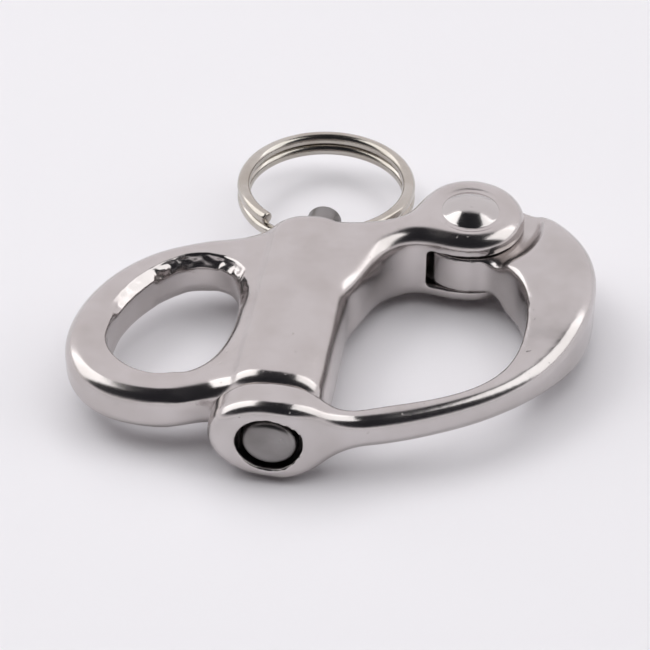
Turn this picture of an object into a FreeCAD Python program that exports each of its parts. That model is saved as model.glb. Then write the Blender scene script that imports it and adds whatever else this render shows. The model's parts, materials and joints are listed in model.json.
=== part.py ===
import FreeCAD, Part
import math
import os

# Fixed-eye snap shackle of cast stainless steel, 66 mm size.
# Design frame, mm: the plunger runs along Y at X = 0 and Z = 0, its nose toward -Y, and Z = 0
# is the mid-plane of every cast piece. The fixed eye lies at -X and the hinged jaw at +X.
# All pieces are shifted at the end, so that the origin is the bottom centre of the whole.

# Casting
eye_half = 3.2              # half thickness of the fixed eye
barrel_radius = 6.3
barrel_front = -15.8        # end face that the jaw closes against
barrel_back = 17.6          # end face that the stem comes out of
blend_start, blend_end = -9.6, -1.5    # X where the eye starts to rise, and where the barrel is full
eye_edge, eye_hole_edge = 2.2, 0.6    # rounded edges

# Fork and hinge
hinge_x, hinge_y = 19.86, 21.41
fork_half = 5.75
fork_edge = 2.4
ear_radius = 7.2
ear_back = 0.44             # the ears' centre lies this far behind the hinge
ear_low, ear_high = -62, 150    # the ears are round between these angles, degrees from +X
slot_half = 2.9
slot_radius = 7.9
rivet_radius = 2.5
rivet_head_radius = 3.93
rivet_head_height = 1.0
hinge_play = 0.05

# Jaw
tongue_half = 2.75
tongue_radius = 7.0
tongue_low, tongue_high = -75, 60
arm_half, shoulder_half = 2.5, 4.6    # half thickness of the front arm and of the outer end
taper_start, taper_end = -9.0, 11.0    # Y between which the jaw thickens
shoulder_start, shoulder_end = 7.8, 9.9    # radii of the hollow shoulder round the ears
boss_half_width, boss_half_height = 7.9, 6.3
boss_front, boss_back = -21.0, -16.0
boss_flat, boss_blend = 1.0, 11.5    # X where the boss starts to fall, and where it has run out
boss_hole_radius = 4.45
jaw_edge, jaw_inner_edge = 1.9, 0.6

# Plunger, spring and ring
nose_radius, stem_radius = 3.5, 2.3
nose_front, nose_back, stem_end = -21.0, -5.0, 23.4
bore_play = 0.06
spring_seat = 12.0          # bottom of the bore, where the spring rests
spring_wire_radius, spring_radius = 0.45, 2.95
spring_turns = 8
ring_wire_radius = 0.875
ring_radius = 11.35
ring_start, ring_sweep = 235.0, 645.0    # angle of the upper end, and its turns clockwise, degrees
ring_centre_x, ring_centre_y = -0.95, 30.45
ring_droop = 3.5            # degrees that the ring hangs below level
cross_hole_radius = 1.6
ring_step = 325.0           # where the wire steps down from the upper turn, at the stem
ring_step_half = 40.0
ring_gap = 0.02             # between the two turns

past = 5.0                  # cutting tools run this far past the metal

V = FreeCAD.Vector
hinge = V(hinge_x, hinge_y, 0)
along_y = V(0, 1, 0)
along_z = V(0, 0, 1)


def line(a, b):
    return Part.LineSegment(V(*a, 0), V(*b, 0)).toShape()


def polyline(points):
    return [line(a, b) for a, b in zip(points, points[1:])]


def spline(points, start=None, end=None):
    """Smooth edge through plan points; closed when no end directions are given."""
    curve = Part.BSplineCurve()
    vectors = [V(x, y, 0) for x, y in points]
    if start is None:
        curve.interpolate(Points=vectors, PeriodicFlag=True)
        return curve.toShape()
    lengths = [0.0]
    for here, there in zip(vectors, vectors[1:]):
        lengths.append(lengths[-1] + (there - here).Length)
    first, last = V(*start, 0).normalize(), V(*end, 0).normalize()
    curve.interpolate(Points=vectors, Parameters=lengths, InitialTangent=first,
                      FinalTangent=last, Scale=False)
    return curve.toShape()


def on_circle(centre, radius, degrees):
    angle = math.radians(degrees)
    return (centre.x + radius * math.cos(angle), centre.y + radius * math.sin(angle))


def tangent(degrees):
    """Direction along a circle at the given angle, counter-clockwise."""
    angle = math.radians(degrees)
    return (-math.sin(angle), math.cos(angle))


def arc(centre, radius, first, last):
    points = [V(*on_circle(centre, radius, a), 0) for a in (first, (first + last) / 2, last)]
    return Part.Arc(*points).toShape()


def ramp(start, end):
    """Two equal tangent arcs that climb from one height to another, flat at both ends."""
    (x0, z0), (x1, z1) = start, end
    run, rise = x1 - x0, z1 - z0
    radius = (run ** 2 + rise ** 2) / (4 * abs(rise))
    turn = math.asin(abs(run) / 2 / radius) / 2
    step_x = math.copysign(radius * math.sin(turn), run)
    step_z = math.copysign(radius * (1 - math.cos(turn)), rise)
    middle = V((x0 + x1) / 2, (z0 + z1) / 2, 0)
    first = Part.Arc(V(x0, z0, 0), V(x0 + step_x, z0 + step_z, 0), middle)
    second = Part.Arc(middle, V(x1 - step_x, z1 - step_z, 0), V(x1, z1, 0))
    return [first.toShape(), second.toShape()]


def slab(edges, half):
    """Plate with the given plan outline, from -half to +half."""
    face = Part.Face(Part.Wire(edges))
    face.translate(V(0, 0, -half))
    return face.extrude(V(0, 0, 2 * half))


def section_prism(upper, along, start, length):
    """Prism whose section is symmetric about Z = 0.

    The upper edges of the section are drawn in plan with Y as height, from one end on the
    mid-plane to the other, and the prism runs along X or Y.
    """
    lower = [edge.mirror(V(0, 0, 0), V(0, 1, 0)) for edge in upper]
    face = Part.Face(Part.Wire(Part.__sortEdges__(upper + lower)))
    face.rotate(V(0, 0, 0), V(1, 0, 0), 90)
    if along == "x":
        face.rotate(V(0, 0, 0), along_z, 90)
        face.translate(V(start, 0, 0))
        return face.extrude(V(length, 0, 0))
    face.translate(V(0, start, 0))
    return face.extrude(V(0, length, 0))


def cylinder_y(radius, start, end):
    return Part.makeCylinder(radius, end - start, V(0, start, 0), along_y)


def cylinder_z(radius, half, centre=hinge):
    return Part.makeCylinder(radius, 2 * half, centre - V(0, 0, half))


def over(curves):
    """Test for the level edges of a solid that lie above or below some plan curves."""
    plan = Part.makeCompound(curves)

    def chosen(edge):
        middle = edge.valueAt((edge.FirstParameter + edge.LastParameter) / 2)
        upright = edge.BoundBox.ZLength > 0.99 * edge.Length
        if abs(middle.z) < 0.1 or upright:
            return False
        return Part.Vertex(middle.x, middle.y, 0).distToShape(plan)[0] < 0.01
    return chosen


def round_edges(solid, radius, chosen):
    """Fillet every edge that the test picks; when they can't take it they stay sharp."""
    edges = [edge for edge in solid.Edges if chosen(edge)]
    try:
        rounded = solid.makeFillet(radius, edges)
    except Part.OCCError:
        rounded = None
    if rounded is None or not rounded.isValid():
        print("fillet left out:", radius, "on", len(edges), "edges")
        return solid
    return rounded


def eye_and_barrel():
    """The fixed eye, the round barrel and the hollow blend between them."""
    front, back = barrel_front, barrel_back
    rim = [
        (0.5, back), (-4.5, 16.8), (-9.0, 15.7), (-14.5, 13.7), (-20.8, 10.2), (-26.0, 3.9),
        (-28.5, -4.5), (-27.3, -11.8), (-23.0, -16.4), (-17.2, -17.9), (-11.5, -17.2), (-8.1, -15.95),
        (-4.0, front),
    ]
    left, right = -31.0, 8.0
    curve = spline(rim, (-1, 0), (1, 0))
    ends = polyline([rim[-1], (right, front), (right, back), rim[0]])
    upper = [
        line((left, 0), (left, eye_half)),
        line((left, eye_half), (blend_start, eye_half)),
        *ramp((blend_start, eye_half), (blend_end, barrel_radius)),
        line((blend_end, barrel_radius), (0, barrel_radius)),
        arc(V(0, 0, 0), barrel_radius, 90, 0),
    ]
    section = section_prism(upper, "y", front - past, back - front + 2 * past)
    body = slab([curve, *ends], barrel_radius + past).common(section)
    return round_edges(body, eye_edge, over([curve, ends[0], ends[2]]))


def fork():
    """The flat plate that carries the ears, leaving the barrel along its bow side."""
    ear_centre = hinge + V(0, ear_back, 0)
    ear_in = on_circle(ear_centre, ear_radius, ear_low)
    ear_out = on_circle(ear_centre, ear_radius, ear_high)
    start = (0.5, -5.0)
    bow_side = [start, (4.6, 1.2), (6.9, 5.0), (8.5, 9.3), (10.2, 12.7), (13.1, 15.0), (17.4, 14.8),
                ear_in]
    back_side = [ear_out, (11.2, 20.8), (7.2, 18.5), (0.5, barrel_back)]
    outline = [
        spline(bow_side, (0.6, 0.8), tangent(ear_low)),
        arc(ear_centre, ear_radius, ear_low, ear_high),
        spline(back_side, tangent(ear_high), (-1, 0)),
    ]
    plate = slab([*outline, line(back_side[-1], start)], fork_half)
    return round_edges(plate, fork_edge, over(outline))


def body_casting():
    """The one cast piece: eye, barrel and fork, with its hole, slot, rivet hole and bore."""
    hole = spline([
        (-23.2, -6.6), (-23.0, -3.6), (-21.6, 1.2), (-18.9, 5.7), (-15.4, 8.6), (-12.6, 9.0),
        (-9.7, 7.6), (-7.9, 2.8), (-7.6, -1.5), (-10.0, -10.0), (-15.6, -13.1), (-20.8, -11.2),
    ])
    body = eye_and_barrel().fuse(fork()).removeSplitter()
    body = round_edges(body.cut(slab([hole], barrel_radius)), eye_hole_edge, over([hole]))
    body = body.cut(cylinder_z(slot_radius, slot_half))
    body = body.cut(cylinder_z(rivet_radius, fork_half + past))
    body = body.cut(cylinder_y(nose_radius + bore_play, barrel_front - past, spring_seat))
    return body.cut(cylinder_y(stem_radius + bore_play, spring_seat - past, barrel_back + past))


def jaw():
    """The hinged bow: a tongue in the fork, a bow that thins forward, and a boss at its tip."""
    inner_end = on_circle(hinge, tongue_radius, tongue_low)
    outer_end = on_circle(hinge, tongue_radius, tongue_high)
    side, front, back = boss_half_width, boss_front, boss_back
    backward = tangent(tongue_low)
    inner = [
        inner_end, (24.6, 13.4), (27.0, 11.0), (28.7, 7.2), (29.2, 2.6), (28.0, -3.6),
        (24.8, -8.0), (20.0, -11.2), (14.5, -13.5), (10.4, -15.1), (side - 1, back),
    ]
    outer = [
        (1.0, front), (7.4, -19.0), (14.0, -16.8), (20.0, -14.2), (26.0, -10.6), (30.9, -6.2),
        (34.6, -1.0), (36.9, 5.0), (37.5, 11.0), (36.4, 16.7), (33.7, 21.1), (30.4, 23.9),
        outer_end,
    ]
    past_left = -side - past
    far_right = outer[-5][0] + past
    inner_curves = [spline(inner, backward, (-1, 0)), line(inner[-1], (past_left, back))]
    outer_curves = [line((past_left, front), outer[0]),
                    spline(outer, (1, 0), tangent(tongue_high))]
    root = [line(outer_end, (hinge_x, hinge_y)), line((hinge_x, hinge_y), inner_end)]
    outline = [*inner_curves, line((past_left, back), (past_left, front)), *outer_curves, *root]
    bow_section = [
        *polyline([(front - past, 0), (front - past, arm_half), (taper_start, arm_half)]),
        *ramp((taper_start, arm_half), (taper_end, shoulder_half)),
        *polyline([(taper_end, shoulder_half), (30, shoulder_half), (30, 0)]),
    ]
    flank = Part.ArcOfEllipse(Part.Ellipse(V(0, 0, 0), side, boss_half_height),
                              math.pi / 2, math.pi).toShape()
    boss_section = [
        flank,
        line((0, boss_half_height), (boss_flat, boss_half_height)),
        *ramp((boss_flat, boss_half_height), (boss_blend, arm_half)),
        line((boss_blend, arm_half), (boss_blend, 0)),
    ]
    plate = slab(outline, boss_half_height + past)
    bow = plate.common(section_prism(bow_section, "x", boss_blend, far_right - boss_blend))
    boss = plate.common(section_prism(boss_section, "y", front - past, back - front + 2 * past))
    solid = bow.fuse(boss).removeSplitter()
    solid = round_edges(solid, jaw_edge, over(outer_curves))
    solid = round_edges(solid, jaw_inner_edge, over(inner_curves))
    for face in (1, -1):
        solid = solid.cut(shoulder_cutter(face))
    solid = solid.fuse(cylinder_z(tongue_radius, tongue_half)).removeSplitter()
    solid = solid.cut(cylinder_z(rivet_radius + hinge_play, tongue_half + past))
    return solid.cut(cylinder_y(boss_hole_radius, front - past, back + past))


def shoulder_cutter(side):
    """Disc that leaves the tongue, with a hollow ramp up to the full jaw thickness."""
    low, high = side * tongue_half, side * (shoulder_half + 0.6)
    start, end = shoulder_start, shoulder_end
    bulge = V(start + 0.72 * (end - start), low + 0.28 * (high - low), 0)
    edges = [
        line((0, low), (start, low)),
        Part.Arc(V(start, low, 0), bulge, V(end, high, 0)).toShape(),
        *polyline([(end, high), (end, 2 * high), (0, 2 * high), (0, low)]),
    ]
    face = Part.Face(Part.Wire(edges))
    face.rotate(V(0, 0, 0), V(1, 0, 0), 90)
    face.translate(hinge)
    return face.revolve(hinge, along_z, 360)


def hinge_rivet():
    """Shank through both ears and the tongue, with a shallow dome at each end."""
    half, height, radius = fork_half, rivet_head_height, rivet_head_radius
    dome_radius = (radius ** 2 + height ** 2) / (2 * height)
    rivet = cylinder_z(rivet_radius, half)
    for side in (1, -1):
        ball = Part.makeSphere(dome_radius, hinge + V(0, 0, side * (half + height - dome_radius)))
        cap = Part.makeCylinder(radius + 1, past, hinge + V(0, 0, side * half), V(0, 0, side))
        rivet = rivet.fuse(ball.common(cap))
    return rivet.removeSplitter()


def plunger():
    """Locking nose, thinner stem with a domed end, and the cross hole for the ring."""
    chamfer, dome = 0.5, 0.35
    face = Part.makeCone(nose_radius - chamfer, nose_radius, chamfer, V(0, nose_front, 0), along_y)
    nose = cylinder_y(nose_radius, nose_front + chamfer, nose_back)
    ball_radius = (stem_radius ** 2 + dome ** 2) / (2 * dome)
    ball = Part.makeSphere(ball_radius, V(0, stem_end - ball_radius, 0))
    end = stem_end - dome
    tip = cylinder_y(stem_radius, end, stem_end).common(ball)
    stem = cylinder_y(stem_radius, nose_back, end).fuse(tip)
    pin = nose.fuse([face, stem]).removeSplitter()
    hole_y = ring_centre_y - ring_radius
    return pin.cut(Part.makeCylinder(cross_hole_radius, 2 * past, V(-past, hole_y, 0), V(1, 0, 0)))


def plunger_spring():
    """Compression spring between the nose and the bottom of the bore."""
    wire = spring_wire_radius
    gap = 0.05
    start, end = nose_back + wire + gap, spring_seat - wire - gap
    helix = Part.makeHelix((end - start) / spring_turns, end - start, spring_radius)
    helix.rotate(V(0, 0, 0), V(1, 0, 0), -90)
    helix.translate(V(0, start, 0))
    first = helix.Edges[0]
    profile = Part.Wire(Part.makeCircle(
        wire, first.valueAt(first.FirstParameter), first.tangentAt(first.FirstParameter)))
    return Part.Wire(helix.Edges).makePipeShell([profile], True, True)


def ring_height(turned_by):
    """The upper turn lies on the lower one, and the wire steps down where it passes the stem."""
    share = (turned_by - ring_step + ring_step_half) / (2 * ring_step_half)
    share = min(1.0, max(0.0, share))
    smooth = share * share * (3 - 2 * share)
    return (ring_wire_radius + ring_gap) * (1 - 2 * smooth)


def pull_ring():
    """Split ring of round wire, nearly two turns, threaded through the cross hole."""
    points = []
    steps = 86
    for step in range(steps + 1):
        turned_by = ring_sweep * step / steps
        angle = math.radians(ring_start - turned_by)
        points.append(V(ring_centre_x + ring_radius * math.cos(angle),
                        ring_centre_y + ring_radius * math.sin(angle), ring_height(turned_by)))
    curve = Part.BSplineCurve()
    curve.interpolate(points)
    path = curve.toShape()
    profile = Part.Wire(Part.makeCircle(
        ring_wire_radius, path.valueAt(path.FirstParameter), path.tangentAt(path.FirstParameter)))
    ring = Part.Wire([path]).makePipeShell([profile], True, True)
    ring.rotate(V(0, ring_centre_y - ring_radius, 0), V(1, 0, 0), -ring_droop)
    return ring


pieces = {
    "body_casting": body_casting(),
    "jaw": jaw(),
    "hinge_rivet": hinge_rivet(),
    "plunger": plunger(),
    "plunger_spring": plunger_spring(),
    "pull_ring": pull_ring(),
}
whole = Part.makeCompound(list(pieces.values())).optimalBoundingBox(False)
origin = V(whole.Center.x, whole.Center.y, whole.ZMin)
os.makedirs("parts", exist_ok=True)
for name, shape in pieces.items():
    placed = shape.copy()
    placed.translate(-origin)
    placed.exportStep("parts/" + name + ".step")
print("origin in the design frame:", [round(v, 3) for v in origin])
print("size:", [round(v, 2) for v in (whole.XLength, whole.YLength, whole.ZLength)])
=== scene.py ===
import bmesh
import bpy
import math
from mathutils import Matrix, Vector, noise
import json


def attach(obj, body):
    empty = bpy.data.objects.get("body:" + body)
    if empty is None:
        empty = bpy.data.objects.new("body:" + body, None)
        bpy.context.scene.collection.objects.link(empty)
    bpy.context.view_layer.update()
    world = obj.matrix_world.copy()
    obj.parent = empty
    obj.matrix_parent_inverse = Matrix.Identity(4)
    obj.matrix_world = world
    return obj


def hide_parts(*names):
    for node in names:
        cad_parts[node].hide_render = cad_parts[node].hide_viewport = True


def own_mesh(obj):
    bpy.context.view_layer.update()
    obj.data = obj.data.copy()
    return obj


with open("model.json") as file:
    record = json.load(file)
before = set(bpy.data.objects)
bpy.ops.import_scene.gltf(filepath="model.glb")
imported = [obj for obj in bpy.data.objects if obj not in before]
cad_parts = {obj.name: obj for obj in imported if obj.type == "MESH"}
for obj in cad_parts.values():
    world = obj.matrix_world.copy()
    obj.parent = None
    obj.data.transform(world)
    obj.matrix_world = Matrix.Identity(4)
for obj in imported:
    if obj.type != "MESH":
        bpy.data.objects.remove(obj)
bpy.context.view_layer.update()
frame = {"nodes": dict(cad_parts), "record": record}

bodies = frame["record"]["behaviour"]["bodies"]
mm = 0.001
middleHeight = 6.75    # mid-plane of the castings above the ground, mm
plungerX = -4.48    # axis of the plunger and of the barrel, mm
hinge = (15.38, 10.566)    # axis of the rivet, mm
mergeDistance = 0.0005    # mm
leastWeight = 0.001
smoothFactor = 0.5
holeSectors = 90    # in which a hole's wall is measured
print("frame loaded:", len(frame["nodes"]), "nodes")

# camera, lengths in mm
camera = {
    "lookAt": (-1.07, -8.734, 6.75),
    "back": (0.1175, -0.7338, 0.6691),    # from the look-at point to the lens
    "distance": 320.0,
    "lens": 137.35,
    "filmWidth": 36.0,
    "nearest": 0.01,    # m
}


def makeCamera(values):
    data = bpy.data.cameras.new("shackleCamera")
    data.lens = values["lens"]
    data.sensor_width = values["filmWidth"]
    data.clip_start = values["nearest"]
    cam = bpy.data.objects.new("shackleCamera", data)
    back = Vector(values["back"]).normalized()
    cam.location = (Vector(values["lookAt"]) + back * values["distance"]) * mm
    cam.rotation_euler = back.to_track_quat("Z", "Y").to_euler()
    bpy.context.scene.collection.objects.link(cam)
    bpy.context.scene.camera = cam


# floor, sweep and softboxes, lengths in metres
studio = {
    "floorColor": (0.87, 0.85, 0.885),
    "floorSize": 6.0,
    "floorRoughness": 0.6,
    "floorShine": 0.15,
    "sweep": (0.93, 0.90, 0.925),    # pale paper behind, which the level faces mirror
    "dark": (0.022, 0.022, 0.026),    # unlit ceiling
    "sweepTop": (0.27, 0.41),    # how far back a direction leans where the paper ends and is full
    "walls": (0.28, 0.12),    # how high a direction points where the pale walls end and are full
    "softboxes": [    # place, size, watts, and whether the steel mirrors it
        ((-0.95, 0.12, 0.8), (0.9, 1.25), 6.4, True),
        ((0.95, 0.12, 0.8), (0.9, 1.25), 5.6, True),
        ((-0.12, 0.12, 1.1), (1.4, 1.4), 11.0, False),
    ],
}


def makeFloor(values):
    bm = bmesh.new()
    bmesh.ops.create_grid(bm, x_segments=1, y_segments=1, size=values["floorSize"] / 2)
    mesh = bpy.data.meshes.new("floor")
    bm.to_mesh(mesh)
    bm.free()
    floor = bpy.data.objects.new("floor", mesh)
    bpy.context.scene.collection.objects.link(floor)
    mat = bpy.data.materials.new("palePaper")
    mat.use_nodes = True
    shader = mat.node_tree.nodes["Principled BSDF"]
    shader.inputs["Base Color"].default_value = (*values["floorColor"], 1)
    shader.inputs["Roughness"].default_value = values["floorRoughness"]
    shader.inputs["Specular IOR Level"].default_value = values["floorShine"]
    mesh.materials.append(mat)


def makeSoftboxes(values):
    for place, size, watts, mirrored in values["softboxes"]:
        data = bpy.data.lights.new("softbox", "AREA")
        data.shape = "RECTANGLE"
        data.size, data.size_y = size
        data.energy = watts
        light = bpy.data.objects.new("softbox", data)
        light.location = place
        light.rotation_euler = Vector(place).to_track_quat("Z", "Y").to_euler()
        light.visible_glossy = mirrored
        bpy.context.scene.collection.objects.link(light)


def makeSweep(values):
    world = bpy.data.worlds.new("paperSweep")
    bpy.context.scene.world = world
    world.use_nodes = True
    nodes, links = world.node_tree.nodes, world.node_tree.links
    coordinates = nodes.new("ShaderNodeTexCoord")
    parts = nodes.new("ShaderNodeSeparateXYZ")
    links.new(coordinates.outputs["Generated"], parts.inputs[0])
    lit = nodes.new("ShaderNodeMath")
    lit.operation = "MAXIMUM"
    for index, (axis, limits) in enumerate((("Y", "sweepTop"), ("Z", "walls"))):
        reach = nodes.new("ShaderNodeMapRange")
        low, high = values[limits]
        reach.inputs["From Min"].default_value = low
        reach.inputs["From Max"].default_value = high
        links.new(parts.outputs[axis], reach.inputs["Value"])
        links.new(reach.outputs[0], lit.inputs[index])
    paper = nodes.new("ShaderNodeMix")
    paper.data_type = "RGBA"
    paper.inputs["A"].default_value = (*values["dark"], 1)
    paper.inputs["B"].default_value = (*values["sweep"], 1)
    links.new(lit.outputs[0], paper.inputs["Factor"])
    links.new(paper.outputs["Result"], nodes["Background"].inputs["Color"])
    world.cycles_visibility.diffuse = False


makeCamera(camera)
makeFloor(studio)
makeSoftboxes(studio)
makeSweep(studio)
bpy.context.scene.view_settings.view_transform = "Standard"
print("camera, floor and light made")

# steel finishes: bump heights in mm
steelNoise = {    # scale per metre, detail, and the values of the field that count as 0 and 1
    "clouds": (160, 4, 0.35, 0.7),    # handling marks, 6 mm
    "grain": (2600, 3, 0.3, 0.7),    # polishing grain, 0.4 mm
    "specks": (1500, 1, 0.74, 0.80),    # sparse casting pits
}
steelFinishes = {
    "polishedCasting": {"color": (0.585, 0.55, 0.542), "dull": (0.525, 0.488, 0.475),
                        "roughness": (0.17, 0.25), "pits": 0.02, "grain": 0.0016},
    "polishedBow": {"color": (0.58, 0.548, 0.542), "dull": (0.52, 0.487, 0.475),
                    "roughness": (0.17, 0.25), "pits": 0.02, "grain": 0.0016},
    "peenedRivet": {"color": (0.57, 0.545, 0.535), "dull": (0.53, 0.50, 0.49),
                    "roughness": (0.12, 0.18), "pits": 0.01, "grain": 0.0008},
    "turnedPlunger": {"color": (0.29, 0.277, 0.273), "dull": (0.21, 0.197, 0.193),
                      "roughness": (0.26, 0.40), "pits": 0.012, "grain": 0.003},
    "springWire": {"color": (0.42, 0.41, 0.40), "dull": (0.33, 0.32, 0.31),
                   "roughness": (0.25, 0.38), "pits": 0.004, "grain": 0.001},
    "ringWire": {"color": (0.56, 0.53, 0.49), "dull": (0.45, 0.41, 0.355),
                 "roughness": (0.16, 0.28), "pits": 0.01, "grain": 0.001},
}


def noiseField(nodes, links, coordinates, scale, detail, low, high):
    field = nodes.new("ShaderNodeTexNoise")
    field.inputs["Scale"].default_value = scale
    field.inputs["Detail"].default_value = detail
    links.new(coordinates.outputs["Object"], field.inputs["Vector"])
    spread = nodes.new("ShaderNodeMapRange")
    spread.inputs["From Min"].default_value = low
    spread.inputs["From Max"].default_value = high
    links.new(field.outputs["Fac"], spread.inputs["Value"])
    return spread.outputs[0]


def makeSteel(name, values):
    mat = bpy.data.materials.new(name)
    mat.use_nodes = True
    nodes, links = mat.node_tree.nodes, mat.node_tree.links
    shader = nodes["Principled BSDF"]
    shader.inputs["Metallic"].default_value = 1.0
    coordinates = nodes.new("ShaderNodeTexCoord")
    clouds, grain, specks = (noiseField(nodes, links, coordinates, *field)
                             for field in steelNoise.values())

    tint = nodes.new("ShaderNodeMix")
    tint.data_type = "RGBA"
    tint.inputs["A"].default_value = (*values["color"], 1)
    tint.inputs["B"].default_value = (*values["dull"], 1)
    worn = nodes.new("ShaderNodeMath")
    worn.operation = "MAXIMUM"
    links.new(specks, worn.inputs[0])
    links.new(clouds, worn.inputs[1])
    links.new(worn.outputs[0], tint.inputs["Factor"])
    links.new(tint.outputs["Result"], shader.inputs["Base Color"])

    rough = nodes.new("ShaderNodeMapRange")
    low, high = values["roughness"]
    rough.inputs["To Min"].default_value = low
    rough.inputs["To Max"].default_value = high
    links.new(clouds, rough.inputs["Value"])
    links.new(rough.outputs[0], shader.inputs["Roughness"])

    bumped = None
    for height, depth in ((specks, -values["pits"]), (grain, values["grain"])):
        bump = nodes.new("ShaderNodeBump")
        bump.inputs["Distance"].default_value = abs(depth) * mm
        bump.invert = depth < 0
        links.new(height, bump.inputs["Height"])
        if bumped:
            links.new(bumped, bump.inputs["Normal"])
        bumped = bump.outputs[0]
    links.new(bumped, shader.inputs["Normal"])
    return mat


finishes = {name: makeSteel(name, values) for name, values in steelFinishes.items()}
print("steel finishes made:", len(finishes))


def workingCopy(node, name):
    # the node's mesh merged, in mm about the castings' mid-plane
    obj = bpy.data.objects.new(name, bpy.data.meshes.new(name))
    bpy.context.scene.collection.objects.link(obj)
    bm = bmesh.new()
    bm.from_mesh(frame["nodes"][node].data)
    bmesh.ops.transform(bm, matrix=Matrix.Scale(1 / mm, 4), verts=bm.verts)
    bmesh.ops.remove_doubles(bm, verts=bm.verts, dist=mergeDistance)
    bm.to_mesh(obj.data)
    bm.free()
    return obj


def applyModifiers(obj):
    bpy.context.view_layer.update()
    evaluated = obj.evaluated_get(bpy.context.evaluated_depsgraph_get())
    mesh = bpy.data.meshes.new_from_object(evaluated)
    obj.modifiers.clear()
    obj.data = mesh


def remeshCast(obj, voxel):
    remesh = obj.modifiers.new("castSkin", "REMESH")
    remesh.mode = "VOXEL"
    remesh.voxel_size = voxel
    remesh.adaptivity = 0.0
    applyModifiers(obj)


def polish(obj, turns, weightOf=None):
    # smooths the skin, everywhere or where weightOf gives a weight
    smooth = obj.modifiers.new("polish", "SMOOTH")
    smooth.factor, smooth.iterations = smoothFactor, turns
    if weightOf:
        group = obj.vertex_groups.new(name="polish")
        for vertex in obj.data.vertices:
            weight = weightOf(vertex.co)
            if weight > leastWeight:
                group.add([vertex.index], weight, "REPLACE")
        smooth.vertex_group = group.name
    applyModifiers(obj)
    obj.vertex_groups.clear()


def fade(value, full, none):
    # 1 from full on and 0 from none on, with a smooth step between
    share = min(1.0, max(0.0, (value - none) / (full - none)))
    return share * share * (3 - 2 * share)


def wallRadii(bm, values):
    # a hole's wall as its mean radius in each sector round its centre
    centre = values["centre"]
    sectors = [[] for index in range(holeSectors)]
    bm.normal_update()
    for vertex in bm.verts:
        if abs(vertex.co.z - middleHeight) < values["wallHeight"]:
            spoke = Vector((vertex.co.x - centre[0], vertex.co.y - centre[1], 0))
            facing = vertex.normal.dot(spoke.normalized())
            if spoke.length < values["reach"] and facing < values["facing"]:
                turned = math.atan2(spoke.y, spoke.x) / (2 * math.pi) % 1
                sectors[int(turned * holeSectors) % holeSectors].append(spoke.length)
    return [sum(found) / len(found) for found in sectors]


def wallRadius(radii, turned):
    place = turned * holeSectors - 0.5
    low = math.floor(place)
    share = place - low
    return radii[low % holeSectors] * (1 - share) + radii[(low + 1) % holeSectors] * share


def grindHole(bm, values):
    # bevels the edge of a hole with the flats that a wheel leaves
    centre, face = values["centre"], values["face"]
    radii = wallRadii(bm, values)
    inwardLow, inwardHigh = values["inwardLimits"]
    belowLow, belowHigh = values["belowLimits"]
    for vertex in bm.verts:
        x, y = vertex.co.x - centre[0], vertex.co.y - centre[1]
        radius = math.hypot(x, y)
        turned = math.atan2(y, x) / (2 * math.pi) % 1
        side = 1 if vertex.co.z > middleHeight else -1
        inward = radius - wallRadius(radii, turned)
        below = face - abs(vertex.co.z - middleHeight)
        if not inwardLow < inward < inwardHigh or not belowLow < below < belowHigh:
            continue
        grip = fade(below, values["fullGrip"], belowLow)
        if side < 0:
            grip *= values["lowerShare"]
        for start, end, tapers, width, depth, lumps in values["flats"]:
            degrees = turned * 360
            if not start <= degrees < end:
                continue
            share = fade(degrees - start, tapers[0], 0) * fade(end - degrees, tapers[1], 0)
            short = 1 - inward / width - below / depth
            if short > 0:
                push = min(short, 1.0) * share * grip / (1 / width ** 2 + 1 / depth ** 2)
                push *= 1 + lumps * grip * noise.noise(vertex.co / values["lumpSize"])
                vertex.co += Vector((x, y, 0)) * push / width / radius
                vertex.co.z -= side * push / depth


def pit(bm, dents):
    # small round dents: centre, radius, depth, pushed along the normal
    bm.normal_update()
    for centre, radius, depth in dents:
        point = Vector(centre)
        for vertex in bm.verts:
            share = (vertex.co - point).length / radius
            if share < 1:
                vertex.co -= vertex.normal * depth * (1 - share * share) ** 2


def ripple(bm, values):
    # slow unevenness of a hand-polished casting
    bm.normal_update()
    shift = Vector(values["rippleShift"])
    for vertex in bm.verts:
        wave = noise.noise(vertex.co / values["rippleSize"] + shift)
        vertex.co += vertex.normal * values["rippleHeight"] * wave


def finishPiece(obj, node, finish):
    bm = bmesh.new()
    bm.from_mesh(obj.data)
    bmesh.ops.transform(bm, matrix=Matrix.Scale(mm, 4), verts=bm.verts)
    for face in bm.faces:
        face.smooth = True
    bm.to_mesh(obj.data)
    bm.free()
    obj.data.materials.clear()
    obj.data.materials.append(finishes[finish])
    body = next(name for name, members in bodies.items() if node in members)
    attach(obj, body)
    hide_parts(node)
    print(obj.name, "finished:", len(obj.data.polygons), "faces on", body)


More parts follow.
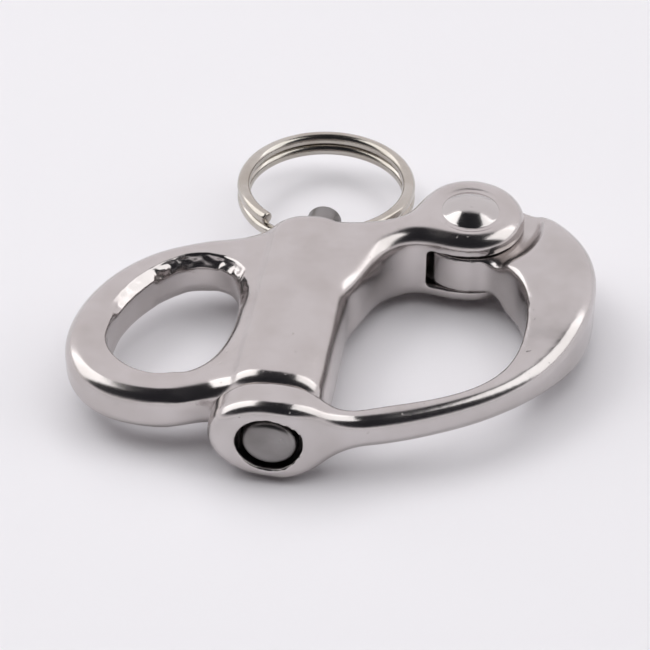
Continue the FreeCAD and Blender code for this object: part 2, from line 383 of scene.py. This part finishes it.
# casting with eye, barrel and fork
casting = {
    "voxel": 0.26,
    "softening": 4,
    "lastSmoothing": 0.4,    # share of the way to the neighbours' mean, after the marks
    "barrelRadius": 6.3,
    "barrelWall": (3.8, 9.0),    # radii that hold the barrel's wall and nothing else
    "bore": (0.7, 3.64, 2.42),    # Y of the spring's seat, radius before it, and the stem's
    "barrelFront": -26.644,
    "squareness": (2.3, 3.6),    # section exponent at the nose end and from the middle on
    "squareFrom": -14.0,    # Y where it is full
    "squareTo": 1.5,
    "squareSkin": 0.3,    # depth that moves in full
    "crest": {"x": -13.6, "across": (2.0, 4.5), "height": (2.5, 2.0)},    # full and none
    "bowSide": {"front": (-16.0, -22.0), "back": (1.0, 4.5), "left": (-1.8, -3.8),
                "right": (8.0, 10.0), "height": (3.4, 2.4), "wall": (2.2, 0.6)},
    "underside": {"depth": (3.4, 2.0), "right": (6.0, 9.0)},
    "crestPolish": 160,
    "bowSidePolish": 150,
    "undersidePolish": 420,
    "rippleHeight": 0.02,
    "rippleSize": 7.0,
    "rippleShift": (3.1, 3.1 * 1.7, 3.1 * 0.6),
    "rivetSeat": (3.5, 4.75, 0.2),    # inner and outer radius of the peening mark, and its depth
    "seatHeight": 5.3,
    "eye": {
        "centre": (-19.78, -12.84),
        "face": 3.2,
        "reach": 12.5,    # the wall lies nearer the centre than this
        "wallHeight": 0.8,    # and is measured this near the mid-plane
        "facing": -0.5,
        "inwardLimits": (-0.6, 2.5),    # what the wheel reaches, back from the wall
        "belowLimits": (-1.3, 2.6),    # and down from the face
        "fullGrip": -0.3,
        "lumpSize": 1 / 0.9,
        "lowerShare": 0.45,    # how much of it the lower face gets
        "flats": [    # from and to, and tapers there, in degrees, width, depth, unevenness
            (121, 200, (0.1, 22), 1.3, 1.25, 0.2),
            (73, 121, (0.1, 0.1), 1.15, 1.85, 0.45),
            (50, 73, (1.5, 0.1), 1.3, 1.5, 1.2),
            (5, 50, (34, 1.5), 0.9, 1.2, 0.7),
        ],
    },
    "pits": [    # place, radius, depth: casting pits left under the polish
        ((-2.79, 2.83, 12.95), 0.42, 0.10), ((-3.18, 1.12, 12.95), 0.5, 0.12),
        ((-2.35, 1.9, 12.9), 0.38, 0.09), ((-1.45, 0.39, 12.8), 0.7, 0.10),
        ((-1.9, -1.2, 12.85), 0.42, 0.07), ((-2.86, -8.07, 12.9), 0.35, 0.10),
        ((-3.23, -15.86, 12.95), 0.3, 0.07), ((-7.32, -21.4, 12.2), 0.3, 0.06),
        ((-9.4, -6.2, 11.7), 0.3, 0.05), ((-24.6, -6.0, 9.95), 0.35, 0.05),
    ],
}


def squareBarrel(bm, values):
    # fills the round barrel out towards the bow, so that the fork leaves it with no ledge
    first = values["barrelFront"]
    low, high = values["squareness"]
    inner, outer = values["barrelWall"]
    for vertex in bm.verts:
        x, z = vertex.co.x - plungerX, vertex.co.z - middleHeight
        radius = math.hypot(x, z)
        if x <= 0 or not inner <= radius <= outer or vertex.co.y >= values["squareTo"]:
            continue
        power = low + (high - low) * fade(vertex.co.y, values["squareFrom"], first)
        cosine, sine = x / radius, abs(z) / radius
        grown = (cosine ** power + sine ** power) ** (-1 / power)
        share = fade(radius, values["barrelRadius"] - values["squareSkin"], inner)
        target = min(radius, values["barrelRadius"]) * (1 + (grown - 1) * share)
        if target > radius:
            vertex.co.x += cosine * (target - radius)
            vertex.co.z += z / radius * (target - radius)


def crestWeight(co):
    # where the eye starts to rise to the barrel
    region = casting["crest"]
    height = abs(co.z - middleHeight)
    return fade(abs(co.x - region["x"]), *region["across"]) * fade(height, *region["height"])


def bowSideWeight(co):
    # the edge between the barrel and the hinge, on the side of the bow
    region = casting["bowSide"]
    height = abs(co.z - middleHeight)
    along = fade(co.y, *region["front"]) * fade(co.y, *region["back"])
    across = fade(co.x, *region["left"]) * fade(co.x, *region["right"])
    return along * across * max(fade(height, *region["height"]), fade(co.x, *region["wall"]))


def undersideWeight(co):
    # the lower edge there is cast rounder than the upper one
    region = casting["underside"]
    depth = middleHeight - co.z
    return bowSideWeight(co) * fade(depth, *region["depth"]) * fade(co.x, *region["right"])


def seatRivet(bm, values):
    inner, outer, depth = values["rivetSeat"]
    middle, half = (inner + outer) / 2, (outer - inner) / 2
    for vertex in bm.verts:
        height = vertex.co.z - middleHeight
        if abs(height) > values["seatHeight"]:
            radius = math.hypot(vertex.co.x - hinge[0], vertex.co.y - hinge[1])
            away = abs(radius - middle) / half
            if away < 1:
                vertex.co.z -= math.copysign(depth * (1 - away * away) ** 2, height)


def clearBore(bm, values):
    # keeps room for the plunger's nose and stem
    seat, boreRadius, stemRadius = values["bore"]
    for vertex in bm.verts:
        x, z = vertex.co.x - plungerX, vertex.co.z - middleHeight
        radius = math.hypot(x, z)
        clear = boreRadius if vertex.co.y < seat else stemRadius
        if radius < clear:
            vertex.co.x += x / radius * (clear - radius)
            vertex.co.z += z / radius * (clear - radius)


def makeCasting(values):
    obj = workingCopy("body_casting", "shackleBody")
    remeshCast(obj, values["voxel"])
    bm = bmesh.new()
    bm.from_mesh(obj.data)
    squareBarrel(bm, values)
    bm.to_mesh(obj.data)
    bm.free()
    polish(obj, values["softening"])
    polish(obj, values["crestPolish"], crestWeight)
    polish(obj, values["bowSidePolish"], bowSideWeight)
    polish(obj, values["undersidePolish"], undersideWeight)
    print("casting polished")
    bm = bmesh.new()
    bm.from_mesh(obj.data)
    grindHole(bm, values["eye"])
    seatRivet(bm, values)
    ripple(bm, values)
    clearBore(bm, values)
    pit(bm, values["pits"])
    bmesh.ops.smooth_vert(bm, verts=bm.verts, factor=values["lastSmoothing"], use_axis_x=True,
                          use_axis_y=True, use_axis_z=True)
    bm.to_mesh(obj.data)
    bm.free()
    finishPiece(obj, "body_casting", "polishedCasting")


makeCasting(casting)

# hinged bow
bow = {
    "voxel": 0.26,
    "softening": 4,
    "shoulderPolish": 70,
    "innerPolish": 70,
    "roundedEdge": [(20.2, 2.5), (21.1, 1.6), (22.0, 0.7), (22.8, -0.5),
                    (23.4, -1.8), (23.9, -3.0)],
    "rounding": {"reach": (1.2, 3.2), "height": (3.0, 1.6)},    # full and none
    "shoulder": {"inside": (8.0, 7.3), "outside": (10.0, 11.5), "height": (3.0, 2.4)},
    "rimBack": -25.0,    # how far back the end hole's rim is pulled in
    "rimReach": (4.7, 5.9),
    "rimPull": 0.3,
    "pits": [
        ((29.33, 0.73, 11.2), 0.42, 0.07), ((26.1, 2.2, 11.3), 0.3, 0.05),
        ((27.2, -7.2, 10.9), 0.32, 0.05), ((2.9, -28.2, 5.1), 0.35, 0.08),
    ],
    "rippleHeight": 0.02,
    "rippleSize": 8.0,
    "rippleShift": (8.4, 8.4 * 1.7, 8.4 * 0.6),
}


def innerWeight(co):
    # the bow's inner edges, ground round where they leave the tongue
    region = bow["rounding"]
    nearest = min(math.hypot(co.x - x, co.y - y) for x, y in bow["roundedEdge"])
    return fade(nearest, *region["reach"]) * fade(abs(co.z - middleHeight), *region["height"])


def narrowHole(bm, values):
    # keeps the end hole's rim as tight as before the skin was softened
    first, last = values["rimReach"]
    for vertex in bm.verts:
        x, z = vertex.co.x - plungerX, vertex.co.z - middleHeight
        radius = math.hypot(x, z)
        if radius < last and vertex.co.y < values["rimBack"]:
            share = values["rimPull"] * fade(radius, first, last) / radius
            vertex.co.x -= x * share
            vertex.co.z -= z * share


def shoulderWeight(co):
    # the hollow step round the fork's ears
    region = bow["shoulder"]
    radius = math.hypot(co.x - hinge[0], co.y - hinge[1])
    ringShare = fade(radius, *region["inside"]) * fade(radius, *region["outside"])
    return ringShare * fade(abs(co.z - middleHeight), *region["height"])


def makeBow(values):
    obj = workingCopy("jaw", "hingedBow")
    remeshCast(obj, values["voxel"])
    polish(obj, values["softening"])
    polish(obj, values["shoulderPolish"], shoulderWeight)
    polish(obj, values["innerPolish"], innerWeight)
    bm = bmesh.new()
    bm.from_mesh(obj.data)
    narrowHole(bm, values)
    ripple(bm, values)
    pit(bm, values["pits"])
    bm.to_mesh(obj.data)
    bm.free()
    finishPiece(obj, "jaw", "polishedBow")


makeBow(bow)

# hinge rivet
rivet = {
    "shank": [(2.45, 5.2), (3.84, 5.3)],    # radius and height above the mid-plane
    "dome": [(3.88, 5.50), (3.76, 5.68), (3.42, 5.87), (2.95, 6.10), (2.4, 6.35), (1.8, 6.58),
             (1.1, 6.76), (0.5, 6.84), (0.0, 6.86)],
    "cuts": 4,
    "turns": 96,
}


def spinProfile(bm, profile, turns):
    # a turned piece from radius and height pairs, closed on its axis
    verts = [bm.verts.new((radius, 0, height)) for radius, height in profile]
    edges = [bm.edges.new(pair) for pair in zip(verts, verts[1:])]
    bmesh.ops.spin(bm, geom=verts + edges, axis=(0, 0, 1), cent=(0, 0, 0), steps=turns,
                   angle=2 * math.pi, use_merge=True)
    bmesh.ops.remove_doubles(bm, verts=bm.verts, dist=mergeDistance)
    bmesh.ops.recalc_face_normals(bm, faces=bm.faces)


def smoothCurve(points, cuts):
    # passes a soft line through profile points
    finer = []
    count = len(points)
    for index in range(count - 1):
        before, start = points[max(index - 1, 0)], points[index]
        end, after = points[index + 1], points[min(index + 2, count - 1)]
        for step in range(cuts):
            t = step / cuts
            finer.append(tuple(
                0.5 * (2 * b + (c - a) * t + (2 * a - 5 * b + 4 * c - d) * t * t
                       + (3 * b - a - 3 * c + d) * t ** 3)
                for a, b, c, d in zip(before, start, end, after)))
    return finer + [points[-1]]


def newPiece(name):
    obj = bpy.data.objects.new(name, bpy.data.meshes.new(name))
    bpy.context.scene.collection.objects.link(obj)
    return obj


def makeRivet(values):
    obj = newPiece("peenedRivet")
    bm = bmesh.new()
    half = values["shank"] + smoothCurve(values["dome"], values["cuts"])
    profile = [(radius, -height) for radius, height in reversed(half)] + half
    spinProfile(bm, profile, values["turns"])
    bmesh.ops.translate(bm, verts=bm.verts, vec=(*hinge, middleHeight))
    bm.to_mesh(obj.data)
    bm.free()
    finishPiece(obj, "hinge_rivet", "peenedRivet")


makeRivet(rivet)

# plunger: nose, stem and cross hole
plunger = {
    "profile": [    # radius, and place along the axis from the nose's face
        (0.0, 0.0), (1.2, 0.02), (2.0, 0.06), (2.6, 0.16), (3.05, 0.38), (3.35, 0.75),
        (3.47, 1.25), (3.5, 2.0),
    ],
    "cuts": 3,
    "noseBack": 16.0,
    "noseChamfer": 0.2,
    "stemRadius": 2.3,
    "stemSplit": 8.0,    # an extra edge round the stem, this far behind the nose
    "stemEnd": 44.4,
    "stemChamfer": 0.3,
    "stemDome": 0.04,
    "stemEdge": 0.1,
    "faceY": -31.844,
    "crossHoleRadius": 1.72,
    "crossHoleY": 8.256,
    "drillLength": 12.0,
    "drillSides": 40,
    "turns": 72,
}


def makePlunger(values):
    obj = newPiece("springPlunger")
    bm = bmesh.new()
    nose = smoothCurve(values["profile"], values["cuts"])
    noseRadius, noseChamfer, back = nose[-1][0], values["noseChamfer"], values["noseBack"]
    stem, end, chamfer = values["stemRadius"], values["stemEnd"], values["stemChamfer"]
    edge = values["stemEdge"]
    profile = nose + [
        (noseRadius, back - noseChamfer), (noseRadius - noseChamfer, back),
        (stem + edge, back), (stem, back + edge), (stem, back + values["stemSplit"]),
        (stem, end - chamfer), (stem - edge, end - edge), (stem - chamfer, end),
        (0.0, end + values["stemDome"]),
    ]
    spinProfile(bm, profile, values["turns"])
    turn = Matrix.Rotation(-math.pi / 2, 4, "X")    # the profile's height runs along +Y
    bmesh.ops.transform(bm, matrix=turn, verts=bm.verts)
    bmesh.ops.translate(bm, verts=bm.verts, vec=(plungerX, values["faceY"], middleHeight))
    bm.to_mesh(obj.data)
    bm.free()
    cutter = newPiece("crossHoleDrill")
    bm = bmesh.new()
    bmesh.ops.create_cone(bm, cap_ends=True, segments=values["drillSides"],
                          radius1=values["crossHoleRadius"], radius2=values["crossHoleRadius"],
                          depth=values["drillLength"])
    bmesh.ops.transform(bm, matrix=Matrix.Rotation(math.pi / 2, 4, "Y"), verts=bm.verts)
    bmesh.ops.translate(bm, verts=bm.verts, vec=(plungerX, values["crossHoleY"], middleHeight))
    bm.to_mesh(cutter.data)
    bm.free()
    drill = obj.modifiers.new("crossHole", "BOOLEAN")
    drill.operation = "DIFFERENCE"
    drill.solver = "EXACT"
    drill.object = cutter
    applyModifiers(obj)
    bpy.data.objects.remove(cutter)
    finishPiece(obj, "plunger", "turnedPlunger")


makePlunger(plunger)


def makeSpring():
    obj = workingCopy("plunger_spring", "noseSpring")
    finishPiece(obj, "plunger_spring", "springWire")
    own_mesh(obj)


makeSpring()

# pull ring
ring = {
    "endBevel": 0.28,
    "endSegments": 4,
    "flatAngle": 0.5,    # degrees: faces flatter than this merge
    "rimAngle": 60,    # and edges sharper than this are bevelled
}


def makeRing(values):
    obj = workingCopy("pull_ring", "splitRing")
    bm = bmesh.new()
    bm.from_mesh(obj.data)
    bmesh.ops.dissolve_limit(bm, angle_limit=math.radians(values["flatAngle"]),
                             verts=bm.verts, edges=bm.edges)
    rims = [edge for edge in bm.edges if len(edge.link_faces) == 2
            and edge.calc_face_angle() > math.radians(values["rimAngle"])]
    bmesh.ops.bevel(bm, geom=rims, offset=values["endBevel"], offset_type="OFFSET",
                    segments=values["endSegments"], profile=0.5, affect="EDGES", material=-1)
    bm.to_mesh(obj.data)
    bm.free()
    finishPiece(obj, "pull_ring", "ringWire")


makeRing(ring)
